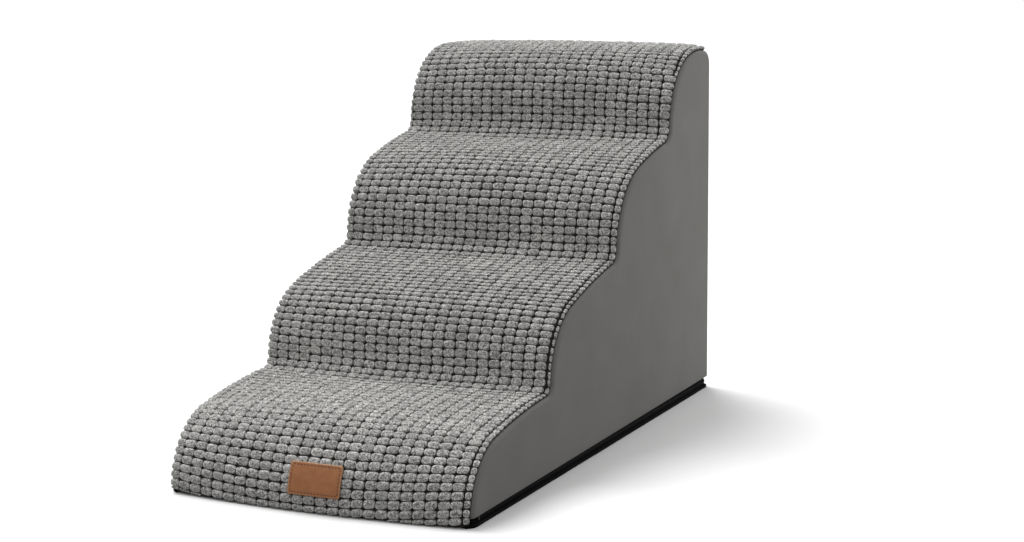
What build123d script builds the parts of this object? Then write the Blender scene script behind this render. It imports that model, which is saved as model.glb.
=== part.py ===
from build123d import *
import math
import os

# Foam pet stairs with four rounded steps, in millimetres.
# The front faces -Y, the steps climb towards +Y, +Z is up.
# The origin is in the middle of the footprint, on the floor.

# Overall size
overall_width = 400.0
overall_depth = 800.0
overall_height = 500.0

# Stepped side line. Each tread meets the next riser in a corner, counted from the front.
corner_depth_shares = (0.300, 0.563, 0.801)
corner_height_shares = (0.212, 0.470, 0.744)
top_flat_depth_share = 0.965
corner_radius = 12.0
front_straight = 8.0

# Slopes of the side line in degrees from level
front_angle = 88.0
riser_angle = 87.0
first_nose_angle = 11.6
nose_angle = 17.3
top_nose_angle = 14.0
first_tread_angle = 2.0
tread_angle = 9.0
level_angle = 0.0

# Cloth, pile and padding
cover_crown = 12.0
pile_height = 5.0
cloth_thickness = 1.2
edge_radius = 12.0
rear_top_radius = 14.0
seam_inset = 7.0
seam_gap = 0.2
fit_gap = 0.3
stitch_gap = 0.1

# Places across the width where the padding is shaped: shares of its half width, then edge angles
crown_shares = (0.0, 0.40, 0.68, 0.88, 1.0)
edge_angles = (22.5, 45.0, 67.5, 90.0)
foam_crown_shares = (0.0, 0.60, 1.0)
foam_edge_angles = (45.0, 90.0)

# Foam core, two slabs glued one on the other
foam_split_height = 262.0

# Base cloth with its bound edge
base_thickness = 1.5
base_corner_radius = 14.0
base_front_inset = 1.0
rim_height = 4.0
rim_overhang = 1.0
rim_rounding = 2.0

# Zip that runs round both sides and the back
zip_height = 9.0
tape_inset = 4.4
tape_thickness = 0.7
tape_gap = 2.4
coil_width = 2.4
coil_height = 1.4
hem_height = 5.0
band_height = 15.5

# Zip slider and its channels
slider_length = 12.0
slider_nose_width = 5.2
slider_shoulder_width = 8.0
slider_tail_width = 6.8
slider_shoulder_length = 2.5
slider_plate = 0.8
slider_corner = 0.5
slider_clearance = 0.2
tape_clearance = 0.3
flange_thickness = 0.6
post_width = 2.0
post_start = 0.6
post_straight = 2.2
post_taper = 2.4

# Bridge on the slider and the pull tab that hangs in it
bridge_width = 1.6
bridge_foot = 0.9
bridge_bar = 0.8
tab_thickness = 0.8
tab_clearance = 0.2
tab_eye_length = 2.4
tab_eye_width = 2.2
tab_arm_width = 1.4
tab_length = 24.0
tab_blade_width = 6.0
tab_tip_radius = 2.4

# Stops at the two ends of the zip
stop_length = 2.4
stop_overlap = 0.5
stop_wall = 0.5
slider_parking_gap = 0.2
zip_end_margin = 6.0

# Leather-look patch on the front
patch_width = 68.0
patch_height = 36.0
patch_thickness = 1.6
patch_low_edge = 21.0
patch_offset = 6.0
patch_corner_radius = 3.0

# One overrun for every cut that has to pass through
overrun = 20.0

# Places worked out from the sizes above
half_width = overall_width / 2
half_depth = overall_depth / 2
side_face = half_width - rim_overhang
rear_face = overall_depth - rim_overhang
crown_edge = side_face - edge_radius
seam_place = side_face - seam_inset
front_setback = cover_crown + pile_height
top_line = overall_height - cover_crown - pile_height
cover_bottom = base_thickness + fit_gap
coil_inset = tape_inset - coil_height
zip_top = zip_height + tape_gap / 2
zip_bottom = zip_height - tape_gap / 2


def cosine(angle):
    return math.cos(math.radians(angle))


def sine(angle):
    return math.sin(math.radians(angle))


def moved(point, way, distance):
    """A point of the side view, moved some distance along a slope."""
    return (point[0] + distance * cosine(way), point[1] + distance * sine(way))


def bend(from_angle, to_angle):
    """Where an arc of radius one ends when its slope falls from one angle to another."""
    return (sine(from_angle) - sine(to_angle), cosine(to_angle) - cosine(from_angle))


def arc_between(start, from_angle, to_angle, radius):
    """Start, middle and end of a tangent arc in the side view."""
    side = 1 if to_angle < from_angle else -1
    points = [start]
    for angle in ((from_angle + to_angle) / 2, to_angle):
        across, up = bend(from_angle, angle)
        points.append((start[0] + side * radius * across, start[1] + side * radius * up))
    return tuple(points)


def two_arcs(start, end, angles):
    """A nose arc and a flatter tread arc, tangent to each other, that join two points."""
    first, second = bend(angles[0], angles[1]), bend(angles[1], angles[2])
    run, rise = end[0] - start[0], end[1] - start[1]
    scale = first[0] * second[1] - first[1] * second[0]
    nose_radius = (run * second[1] - rise * second[0]) / scale
    tread_radius = (first[0] * rise - first[1] * run) / scale
    nose = arc_between(start, angles[0], angles[1], nose_radius)
    return [nose, arc_between(nose[-1], angles[1], angles[2], tread_radius)]


def corner_place(number, slope, outset):
    """Corner between a tread and the next riser, on the side line moved out by outset."""
    normal = (-sine(slope) - sine(riser_angle), cosine(slope) + cosine(riser_angle))
    share = outset / (1 + cosine(riser_angle - slope))
    depth = overall_depth * corner_depth_shares[number]
    height = overall_height * corner_height_shares[number]
    return (depth + share * normal[0], height + share * normal[1])


def step_line(outset, bottom):
    """The stepped side line as lines and arcs, from the floor up to the level top."""
    floor_point = (front_setback - outset, 0.0)
    start = moved(floor_point, front_angle, front_straight)
    run_down = (bottom - floor_point[1]) / sine(front_angle)
    pieces = [(moved(floor_point, front_angle, run_down), start)]
    angles = (front_angle, first_nose_angle, first_tread_angle)
    for number in range(len(corner_depth_shares)):
        slope = angles[2]
        turn = riser_angle - slope
        setback = corner_radius * math.tan(math.radians(turn / 2))
        tread_end = moved(corner_place(number, slope, outset), slope, -setback)
        pieces += two_arcs(start, tread_end, angles)
        pieces.append(arc_between(tread_end, slope, riser_angle, corner_radius))
        start = pieces[-1][-1]
        angles = (riser_angle, nose_angle, tread_angle)
    top_start = (overall_depth * top_flat_depth_share, top_line + outset)
    pieces += two_arcs(start, top_start, (riser_angle, top_nose_angle, level_angle))
    return pieces


def drawn(pieces, x):
    """Edges across the part's own frame for pieces of the side view."""
    edges = []
    for piece in pieces:
        points = [(x, depth - half_depth, height) for depth, height in piece]
        edges.append(Line(*points) if len(points) == 2 else ThreePointArc(*points))
    return edges


def section(x, outset, rear_inset, bottom):
    """Closed side view of the stairs at one place across the width."""
    pieces = step_line(outset, bottom)
    rear = rear_face - rear_inset
    top = pieces[-1][-1][1]
    bend_start = (rear - rear_top_radius, top)
    corner = arc_between(bend_start, level_angle, level_angle - 90, rear_top_radius)
    pieces.append((pieces[-1][-1], bend_start))
    pieces.append(corner)
    pieces.append((corner[-1], (rear, bottom)))
    pieces.append(((rear, bottom), pieces[0][0]))
    return Wire(drawn(pieces, x))


def both_sides(stations):
    """Stations of the right half, with their mirror images, from left to right."""
    left = [(-x, outset, rear_inset) for x, outset, rear_inset in reversed(stations[1:])]
    return left + stations


def padded_body(stations, bottom):
    """A closed body through the sections at the stations."""
    wires = [section(x, outset, rear, bottom) for x, outset, rear in both_sides(stations)]
    return Solid.make_loft(wires, ruled=True)


def crown_at(share):
    """How far the padding pushes the cloth out, at a share of its half width."""
    return cover_crown * (1 - share ** 2)


def skin(inset, bottom, shares=crown_shares, angles=edge_angles):
    """The padded shape, this far inside the outer face of the cloth."""
    stations = [(share * crown_edge, crown_at(share) - inset, inset) for share in shares]
    reach = edge_radius - inset
    for angle in angles:
        drop = edge_radius - reach * cosine(angle)
        stations.append((crown_edge + reach * sine(angle), -drop, drop))
    return padded_body(stations, bottom)


def box_between(low, high):
    """A block from its lowest to its highest corner."""
    size = [top - foot for foot, top in zip(low, high)]
    middle = [(top + foot) / 2 for foot, top in zip(low, high)]
    return Pos(*middle) * Box(*size)


def footprint(inset, front_inset):
    """Outline of the stairs on the floor, moved inwards, with a bowed front."""
    side = half_width - inset
    rear = half_depth - inset
    front = front_inset - half_depth
    shoulder = front + cover_crown + pile_height
    bow = ThreePointArc((-side, shoulder), (0, front), (side, shoulder))
    sides = Polyline((side, shoulder), (side, rear), (-side, rear), (-side, shoulder))
    outline = make_face([bow, *sides.edges()])
    return fillet(outline.vertices(), base_corner_radius - inset)


def band(outer_inset, inner_inset, low, high):
    """A wall round both sides and the back, between two insets and two heights."""
    ring = footprint(outer_inset, outer_inset) - footprint(inner_inset, inner_inset)
    wall = Pos(0, 0, low) * extrude(ring, high - low)
    front_low = (-seam_place, -half_depth - overrun, low - overrun)
    front_high = (seam_place, front_setback + base_corner_radius - half_depth, high + overrun)
    return wall - box_between(front_low, front_high)


# Foam core
def foam_core():
    inset = cloth_thickness + fit_gap
    core = skin(inset, cover_bottom, foam_crown_shares, foam_edge_angles)
    slider_depth = tape_inset + tape_thickness + tape_clearance + slider_plate
    rebate_top = band_height + hem_height + fit_gap
    rebate = band(-overrun, slider_depth + fit_gap, -overrun, rebate_top)
    return core - rebate


def foam_blocks():
    core = foam_core()
    reach = overall_width + overall_depth
    below = box_between((-reach, -reach, -overrun), (reach, reach, foam_split_height))
    return core & below, core - below


# Pile strip over the front, the treads, the risers and the top
def tread_cover():
    inner = skin(cloth_thickness, -overrun)
    pile_end = rear_top_radius
    stations = [(share * crown_edge, crown_at(share) + pile_height) for share in crown_shares]
    for angle in edge_angles:
        reach = (seam_place - crown_edge) * sine(angle)
        drop = edge_radius - math.sqrt(edge_radius ** 2 - reach ** 2)
        stations.append((crown_edge + reach, pile_height * cosine(angle) - drop))
    mirrored = [(-x, outset) for x, outset in reversed(stations[1:])]
    wires = [pile_section(x, outset, pile_end) for x, outset in mirrored + stations]
    return Solid.make_loft(wires, ruled=True) - inner


def pile_section(x, outset, pile_end):
    """Side view of the pile strip's outside, closed off inside the padding."""
    pieces = step_line(outset, cover_bottom)
    rear = rear_face - pile_end
    pieces.append((pieces[-1][-1], (rear, pieces[-1][-1][1])))
    pieces.append((pieces[-1][-1], (rear, cover_bottom)))
    pieces.append((pieces[-1][-1], pieces[0][0]))
    return Wire(drawn(pieces, x))


# Knitted panels of the sides and the back
def panel_hem():
    """Turned and stitched lower edge that the panels share before they are cut apart."""
    outer = rim_overhang + cloth_thickness / 2
    return band(outer, tape_inset - stitch_gap, band_height, band_height + hem_height)


def cloth_panels():
    reach = overall_width + overall_depth
    shell = skin(0.0, cover_bottom) - skin(cloth_thickness, -overrun)
    above = box_between((-reach, -reach, band_height), (reach, reach, reach))
    cloth = (shell & above) + panel_hem()
    low = (seam_place + seam_gap / 2, -reach, -overrun)
    side_zone = box_between(low, (reach, reach, reach))
    right = cloth & side_zone
    left = cloth & mirror(side_zone, Plane.YZ)
    back_start = rear_face - rear_top_radius - half_depth + seam_gap
    back_edge = seam_place - seam_gap / 2
    back_zone = box_between((-back_edge, back_start, -overrun), (back_edge, reach, reach))
    return left, right, cloth & back_zone


# Base cloth with its bound edge round the sides and the back
def base_panel():
    sheet = extrude(footprint(rim_rounding, base_front_inset), base_thickness)
    block = extrude(footprint(0.0, 0.0), rim_height)
    block = fillet(block.edges().group_by(Axis.Z)[0], rim_rounding)
    rim = block & band(-overrun, tape_inset - stitch_gap, 0.0, rim_height)
    return sheet + rim


# Zip tapes and the two rows of coil
def zip_tapes():
    inner = tape_inset + tape_thickness
    lower = band(tape_inset, inner, cover_bottom, zip_bottom)
    upper = band(tape_inset, inner, zip_top, band_height + hem_height)
    return lower, upper


def zip_coils():
    slider_front = slider_rest_front()
    coil_start = slider_front + post_start + post_straight + post_taper + slider_clearance
    right_end = slider_front
    rows = []
    for low in (zip_height - coil_width, zip_height):
        row = band(coil_inset, tape_inset, low, low + coil_width)
        reach = overall_width
        left_cut = box_between((-reach, -reach * 2, -reach), (0, coil_start, reach))
        right_cut = box_between((0, -reach * 2, -reach), (reach, right_end, reach))
        rows.append(row - left_cut - right_cut)
    return rows


def slider_rest_front():
    """Depth of the slider's front end when the zip is shut."""
    straight_start = front_setback + base_corner_radius - half_depth
    return straight_start + zip_end_margin


# Slider, drawn flat with its length along X, its width along Y and its outside up
def slider_outline():
    nose, shoulder, tail = slider_nose_width / 2, slider_shoulder_width / 2, slider_tail_width / 2
    half = [(0, nose), (slider_shoulder_length, shoulder), (slider_length, tail)]
    other = [(x, -y) for x, y in reversed(half)]
    outline = make_face(Polyline(*half, *other, close=True).edges())
    return fillet(outline.vertices(), slider_corner)


def slider_levels():
    """Heights of the slider's faces above the back of the tape."""
    plate_top = -tape_clearance
    plate_low = plate_top - slider_plate
    roof_low = tape_thickness + coil_height + slider_clearance
    roof_top = roof_low + slider_plate
    return plate_low, plate_top, roof_low, roof_top


def pivot_place():
    """Middle of the pull tab's bar: along the slider, and above the back of the tape."""
    roof_top = slider_levels()[3]
    bar_height = roof_top + tab_clearance + tab_thickness / 2
    return slider_length / 2, bar_height


def slider_body():
    plate_low, plate_top, roof_low, roof_top = slider_levels()
    outline = slider_outline()
    body = Pos(0, 0, plate_low) * extrude(outline, slider_plate)
    body += Pos(0, 0, roof_low) * extrude(outline, slider_plate)
    half_post = post_width / 2
    post_end = post_start + post_straight
    post_line = Polyline(
        (post_start, half_post),
        (post_end, half_post),
        (post_end + post_taper, 0),
        (post_end, -half_post),
        (post_start, -half_post),
        close=True,
    )
    post_low = plate_top - slider_plate / 2
    post_height = roof_low + slider_plate / 2 - post_low
    body += Pos(0, 0, post_low) * extrude(make_face(post_line.edges()), post_height)
    flange_low = tape_thickness + tape_clearance
    for side in (1, -1):
        inner = side * (coil_width + slider_clearance)
        outer = inner + side * flange_thickness
        low = (slider_shoulder_length, min(inner, outer), flange_low)
        high = (slider_length - slider_corner, max(inner, outer), roof_low + slider_plate / 2)
        body += box_between(low, high)
    return body + bridge_arch(roof_top)


def bridge_arch(roof_top):
    """Arch along the slider's back; the pull tab's bar turns inside it."""
    middle, bar_height = pivot_place()
    inner = tab_thickness / 2 + tab_clearance
    outer = inner + bridge_foot
    top = bar_height + inner + bridge_bar
    half = bridge_width / 2
    foot = roof_top - slider_plate / 2
    arch = box_between((middle - outer, -half, foot), (middle + outer, half, top))
    ends = arch.edges().filter_by(Axis.Y).group_by(Axis.Z)[-1]
    arch = fillet(ends, bridge_bar / 2)
    low = (middle - inner, -half - overrun, roof_top)
    high = (middle + inner, half + overrun, top - bridge_bar)
    return arch - box_between(low, high)


def pull_tab():
    middle, bar_height = pivot_place()
    half_eye = tab_eye_width / 2
    half_arms = half_eye + tab_arm_width
    eye_end = middle + tab_thickness / 2 + tab_eye_length
    arm_end = eye_end + tab_tip_radius
    low, high = bar_height - tab_thickness / 2, bar_height + tab_thickness / 2
    bar = Pos(middle, 0, bar_height) * Rot(90, 0, 0) * Cylinder(tab_thickness / 2, 2 * half_arms)
    tab = bar
    for side in (1, -1):
        sides = sorted((side * half_eye, side * half_arms))
        tab += box_between((middle, sides[0], low), (arm_end, sides[1], high))
    blade_length = tab_length - (eye_end - middle)
    blade = extrude(RectangleRounded(blade_length, tab_blade_width, tab_tip_radius), tab_thickness)
    return tab + Pos(eye_end + blade_length / 2, 0, low) * blade


def on_left_side(shape):
    """Turns a piece drawn flat onto the tape of the left side, with the slider at rest."""
    frame = Plane(
        origin=(-(half_width - tape_inset - tape_thickness), slider_rest_front(), zip_height),
        x_dir=(0, 1, 0),
        z_dir=(-1, 0, 0),
    )
    return frame * shape


# Stops: two at the shut end, one that holds both rows together at the other end
def tape_slot(start, end):
    """Room for the tape between two places across the zip, drawn flat like the slider."""
    top = tape_thickness + stitch_gap
    return box_between((-overrun, start, -stitch_gap), (overrun, end, top))


def crimped_block(low, high):
    """The closed block that a stop is bent from, between two places across the zip."""
    top = slider_levels()[3]
    return box_between((0, low, -stop_wall), (stop_length, high, top))


def zip_top_stops():
    edge = tape_gap / 2
    shoulder = slider_nose_width / 2
    stops = []
    for side in (1, -1):
        block = crimped_block(*sorted((side * (edge - stop_overlap), side * shoulder)))
        block -= tape_slot(*sorted((side * (edge - stitch_gap), side * (edge + overrun))))
        stops.append(on_left_side(Pos(-stop_length - slider_parking_gap, 0, 0) * block))
    return Compound(children=stops)


def zip_bottom_stop():
    half = coil_width + stop_overlap
    edge = tape_gap / 2 - stitch_gap
    block = crimped_block(-half, half)
    block -= tape_slot(edge, edge + overrun)
    block -= tape_slot(-edge - overrun, -edge)
    placed = on_left_side(Pos(-stop_length - stitch_gap, 0, 0) * block)
    return mirror(placed, Plane.YZ)


# Patch, bent to the front of the first step
def label_patch():
    arc_start, arc_middle, arc_end = step_line(cover_crown + pile_height + stitch_gap, 0.0)[1]
    radius = arc_radius(arc_start, arc_end, front_angle, first_nose_angle)
    centre = (arc_start[0] + radius * sine(front_angle), arc_start[1] - radius * cosine(front_angle))
    rim = radius + patch_thickness
    disc = Plane.YZ * Pos(centre[0] - half_depth, centre[1]) * (Circle(rim) - Circle(radius))
    ring = extrude(disc, patch_width, both=True)
    patch_middle = patch_low_edge + patch_height / 2
    shape = RectangleRounded(patch_width, patch_height, patch_corner_radius)
    window = Plane.XZ * Pos(patch_offset, patch_middle) * shape
    depth = front_setback + radius
    return ring & (Pos(0, depth - half_depth, 0) * extrude(window, depth + overrun))


def arc_radius(start, end, from_angle, to_angle):
    """Radius of the tangent arc that joins two points."""
    return (end[0] - start[0]) / bend(from_angle, to_angle)[0]


# Every piece under its node's name
foam_lower_block, foam_upper_block = foam_blocks()
left_side_panel, right_side_panel, back_panel = cloth_panels()
zip_tape_lower, zip_tape_upper = zip_tapes()
zip_coil_lower, zip_coil_upper = zip_coils()

nodes = {
    "foam_lower_block": foam_lower_block,
    "foam_upper_block": foam_upper_block,
    "tread_cover": tread_cover(),
    "left_side_panel": left_side_panel,
    "right_side_panel": right_side_panel,
    "back_panel": back_panel,
    "base_panel": base_panel(),
    "zip_tape_lower": zip_tape_lower,
    "zip_tape_upper": zip_tape_upper,
    "zip_coil_lower": zip_coil_lower,
    "zip_coil_upper": zip_coil_upper,
    "zip_slider": on_left_side(slider_body()),
    "zip_pull_tab": on_left_side(pull_tab()),
    "zip_top_stops": zip_top_stops(),
    "zip_bottom_stop": zip_bottom_stop(),
    "label_patch": label_patch(),
}

os.makedirs("parts", exist_ok=True)
for name, shape in nodes.items():
    export_step(shape, f"parts/{name}.step")
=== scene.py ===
# %% [markdown]
# # Foam pet stairs
# The real thing is a block of foam in a sewn cover. A strip of tufted pile runs over the
# steps, smooth knitted cloth closes the sides and the back, and black webbing with a zip
# runs round the bottom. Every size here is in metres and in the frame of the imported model,
# so a piece is made where it belongs and is never fitted afterwards.

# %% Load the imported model
import math
from functools import partial

import bmesh
import bpy
import numpy as np
from mathutils import Matrix, Vector


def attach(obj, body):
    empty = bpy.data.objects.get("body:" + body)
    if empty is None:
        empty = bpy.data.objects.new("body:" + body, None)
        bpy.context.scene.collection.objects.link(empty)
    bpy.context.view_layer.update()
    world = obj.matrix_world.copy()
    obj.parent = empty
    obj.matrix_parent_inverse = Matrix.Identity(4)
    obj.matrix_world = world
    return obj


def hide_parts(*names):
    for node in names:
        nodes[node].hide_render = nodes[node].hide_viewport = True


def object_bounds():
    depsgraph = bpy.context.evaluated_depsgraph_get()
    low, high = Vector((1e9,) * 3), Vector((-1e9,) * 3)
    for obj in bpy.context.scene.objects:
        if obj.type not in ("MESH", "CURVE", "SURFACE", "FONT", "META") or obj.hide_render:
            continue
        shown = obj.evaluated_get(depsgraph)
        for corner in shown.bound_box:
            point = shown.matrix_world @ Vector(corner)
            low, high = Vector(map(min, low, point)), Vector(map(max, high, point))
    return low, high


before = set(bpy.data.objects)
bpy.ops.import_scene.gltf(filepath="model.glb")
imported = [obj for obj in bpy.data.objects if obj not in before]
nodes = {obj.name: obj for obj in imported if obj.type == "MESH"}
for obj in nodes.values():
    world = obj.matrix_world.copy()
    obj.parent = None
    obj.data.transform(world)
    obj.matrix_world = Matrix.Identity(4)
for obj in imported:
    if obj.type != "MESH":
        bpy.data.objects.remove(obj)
cad_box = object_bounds()
mm = 0.001
print("packed model", [round(side, 4) for side in cad_box[1] - cad_box[0]], "m")

# %% [markdown]
# ## Camera
# The camera comes first, because every later comparison depends on it. Its place and
# angles were fitted to the outline of the stairs, so straight edges land where the
# photograph has them. A lens of a given focal length in pixels becomes millimetres when
# it is scaled by the sensor's width. A camera without any turn looks straight down, so it
# is rolled first, then raised to the level less its pitch, and turned to its yaw last.

# %% Camera at the photograph's angle
photo_width_px = 1024
focal_px = 2038
sensor_width = 36
camera_place = Vector((1.1540, -2.3354, 0.6529))
camera_yaw, camera_pitch, camera_roll = (math.radians(a) for a in (24.852, 9.494, -0.5))
level = math.pi / 2


def put_in_scene(name, data):
    """A new object that holds a camera, a lamp or a mesh."""
    thing = bpy.data.objects.new(name, data)
    bpy.context.scene.collection.objects.link(thing)
    return thing


camera_data = bpy.data.cameras.new("camera")
camera_data.sensor_width = sensor_width
camera_data.lens = sensor_width * focal_px / photo_width_px
camera_data.clip_end = 50
camera = put_in_scene("camera", camera_data)
turn = Matrix.Rotation(camera_yaw, 4, "Z") @ Matrix.Rotation(level - camera_pitch, 4, "X")
camera.matrix_world = Matrix.Translation(camera_place) @ turn @ Matrix.Rotation(camera_roll, 4, "Z")
bpy.context.scene.camera = camera
print("lens", round(camera_data.lens, 2), "mm")

# %% [markdown]
# ## Colours and nodes
# Colours are written as sRGB hex values, as a paint chart would give them, and one
# function turns them to the linear values that the shaders work in. A second function
# adds one shader node: each of its inputs takes a value, or the node or socket that feeds
# it. Patterns are laid out in the object's own coordinates, which are metres here, so a
# pattern's scale is one over its real size.

# %% Colour and node helpers


def linear(hex_colour):
    """An sRGB hex colour as linear red, green, blue and alpha."""
    shares = [int(hex_colour[i:i + 2], 16) / 255 for i in (1, 3, 5)]
    bright = [s / 12.92 if s <= 0.04045 else ((s + 0.055) / 1.055) ** 2.4 for s in shares]
    return (*bright, 1.0)


def add_node(tree, kind, inputs=(), **settings):
    """One shader node; an input takes a value, a socket, or a node's first output."""
    node = tree.nodes.new("ShaderNode" + kind)
    for name, value in settings.items():
        setattr(node, name, value)
    for name, value in dict(inputs).items():
        source = value.outputs[0] if isinstance(value, bpy.types.Node) else value
        if isinstance(source, bpy.types.NodeSocket):
            tree.links.new(source, node.inputs[name])
        else:
            node.inputs[name].default_value = value
    return node


def empty_tree(owner):
    """Clears the nodes of a material or world, and gives the function that adds new ones."""
    owner.use_nodes = True
    owner.node_tree.nodes.clear()
    return partial(add_node, owner.node_tree)


def new_material(name):
    """A material without nodes, the function that adds them, and the object's coordinates."""
    material = bpy.data.materials.new(name)
    add = empty_tree(material)
    return material, add, add("TexCoord").outputs["Object"]


def finish_material(add, finish, relief=None, strength=0.0, depth=0.0, **settings):
    """Closes a material: its shader, with a bump where it has a relief, and its output."""
    if relief is not None:
        bump = add("Bump", {"Strength": strength, "Distance": depth, "Height": relief}, **settings)
        finish = {**finish, "Normal": bump}
    add("OutputMaterial", {"Surface": add("BsdfPrincipled", finish)})


# %% [markdown]
# ## Light and floor
# A studio picture on white has one big lamp high on the left, so that the shadow falls
# softly to the right, and light from all round that keeps the shaded side readable. A weak
# lamp in front opens the risers, and a disk low behind the right side lifts that panel. A
# sun lamp lights near and far alike, and its angle sets how soft a shadow's edge is. Only
# camera, glossy and transmission rays see the world as white, and the same rays see the
# floor as white paper. What the floor throws back at the object comes from a plain grey,
# so that the undersides keep their shade.

# %% White for the rays that look at it
horizon_strength = 0.15
zenith_strength = 0.77


def seen_directly(add):
    """One where a camera, glossy or transmission ray looks, and nought for other rays."""
    ray = add("LightPath")
    seen = ray.outputs["Is Camera Ray"]
    for kind in ("Is Glossy Ray", "Is Transmission Ray"):
        seen = add("Math", {0: seen, 1: ray.outputs[kind]}, operation="MAXIMUM")
    return seen


world = bpy.data.worlds.new("studio")
bpy.context.scene.world = world
add = empty_tree(world)
sky_height = add("SeparateXYZ", {0: add("TexCoord").outputs["Generated"]})
sky_range = {"To Min": horizon_strength, "To Max": zenith_strength}
overhead = add("MapRange", {"Value": sky_height.outputs["Z"], **sky_range})
strength = add("MapRange", {"Value": seen_directly(add), "To Min": overhead, "To Max": 1.0})
sky = add("Background", {"Color": linear("#ffffff"), "Strength": strength})
add("OutputWorld", {"Surface": sky})
bpy.context.scene.view_settings.view_transform = "Standard"

# %% Lamps
key_way = Vector((0.48, -0.27, -0.83))
key_light = {"energy": 2.5, "angle": math.radians(42)}
front_way = Vector((0.45, 0.85, -0.28))
front_light = {"energy": 0.3, "angle": math.radians(60)}
fill_place = Vector((1.2, 1.1, 0.25))
fill_aim = Vector((0.2, 0.1, 0.2))
fill_light = {"energy": 6.8, "shape": "DISK", "size": 0.6}


def studio_lamp(name, kind, way, settings, place=(0, 0, 0)):
    """A lamp that shines along a direction; a wide angle or disk makes soft shadows."""
    data = bpy.data.lights.new(name, kind)
    for setting, value in settings.items():
        setattr(data, setting, value)
    lamp = put_in_scene(name, data)
    lamp.rotation_mode = "QUATERNION"
    lamp.rotation_quaternion = way.to_track_quat("-Z", "Y")
    lamp.location = place


studio_lamp("key_lamp", "SUN", key_way, key_light)
studio_lamp("front_lamp", "SUN", front_way, front_light)
studio_lamp("fill_lamp", "AREA", fill_aim - fill_place, fill_light, fill_place)

# %% Floor
floor_half = 12


def paper_material():
    """Matte white paper to the rays that look at it, and grey to every other ray."""
    material, add, _ = new_material("white_paper")
    grey, white = (add("BsdfDiffuse", {"Color": linear(tone)}) for tone in ("#8a8a8a", "#ffffff"))
    paper = add("MixShader", {0: seen_directly(add), 1: grey, 2: white})
    add("OutputMaterial", {"Surface": paper})
    return material


floor_mesh = bpy.data.meshes.new("floor")
corners = [(x * floor_half, y * floor_half, 0) for x, y in ((-1, -1), (1, -1), (1, 1), (-1, 1))]
floor_mesh.from_pydata(corners, [], [(0, 1, 2, 3)])
floor_mesh.materials.append(paper_material())
floor = put_in_scene("floor", floor_mesh)
print("floor", floor_half * 2, "m square")

# %% [markdown]
# ## The stepped line
# The cover follows one line in side view: up the front, over a rounded nose, along a
# tread that leans a little, into a small hollow corner, and up the next riser. It is
# built from tangent arcs, so it has no kink. Moved outwards by some distance, the same
# line gives the cloth, the tips of the pile or the foam. The distance and the places along
# the line can be whole arrays, so that a mesh is placed in one call.

# %% Sizes of the cover
overall_width, overall_depth, overall_height = cad_box[1] - cad_box[0]
half_width, half_depth = overall_width / 2, overall_depth / 2
corner_depth_shares = (0.300, 0.563, 0.801)
corner_height_shares = (0.212, 0.470, 0.744)
top_flat_depth_share = 0.965
hollow_edge_radius = 14 * mm
hollow_middle_radius = 31 * mm
hollow_shares = (1.0, 1.2, 1.4)
front_straight = 8 * mm
front_slope, riser_slope, top_nose_slope, level_slope = (math.radians(a) for a in (88, 87, 14, 0))
first_slopes = tuple(math.radians(a) for a in (11.6, 2))
step_slopes = tuple(math.radians(a) for a in (17.3, 9))
cover_crown = 12 * mm
pile_height = 5 * mm
edge_radius = 7 * mm
rear_top_radius = 14 * mm
side_face = half_width - 1 * mm
rear_face = overall_depth - 1 * mm
crown_edge = side_face - edge_radius
seam_inset = 4.5 * mm
seam_place = side_face - seam_inset
front_setback = cover_crown + pile_height
top_raise = 5 * mm
corner_fall_depth = 5 * mm
corner_fall_reach = 75 * mm
corner_fall_power = 14
top_line = overall_height - cover_crown - pile_height + top_raise
cover_bottom = 1.2 * mm

# %% The line as pieces


def two_arcs(start, end, slopes):
    """A nose arc and a flatter tread arc, tangent to each other, that join two points."""
    nose_x, tread_x = (math.sin(a) - math.sin(b) for a, b in zip(slopes, slopes[1:]))
    nose_z, tread_z = (math.cos(b) - math.cos(a) for a, b in zip(slopes, slopes[1:]))
    run, rise = end[0] - start[0], end[1] - start[1]
    scale = nose_x * tread_z - nose_z * tread_x
    nose = (run * tread_z - rise * tread_x) / scale
    tread = (nose_x * rise - nose_z * run) / scale
    turn = (start[0] + nose * nose_x, start[1] + nose * nose_z)
    return [(*start, slopes[0], slopes[1], nose), (*turn, slopes[1], slopes[2], tread)]


def place_on(piece, share):
    """Depth, height and slope at a share of the way along a piece."""
    depth, height, first, last, size = piece
    slope = first + share * (last - first)
    if first == last:
        return depth + share * size * math.cos(first), height + share * size * math.sin(first), slope
    across, up = math.sin(first) - np.sin(slope), np.cos(slope) - math.cos(first)
    return depth + size * across, height + size * up, slope


# %% The whole line


def corner_place(number, slope, outset):
    """Corner between a tread and the next riser, on the line moved out by outset."""
    share = outset / (1 + math.cos(riser_slope - slope))
    depth = overall_depth * corner_depth_shares[number]
    height = overall_height * corner_height_shares[number]
    return (depth - share * (math.sin(slope) + math.sin(riser_slope)),
            height + share * (math.cos(slope) + math.cos(riser_slope)))


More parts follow.
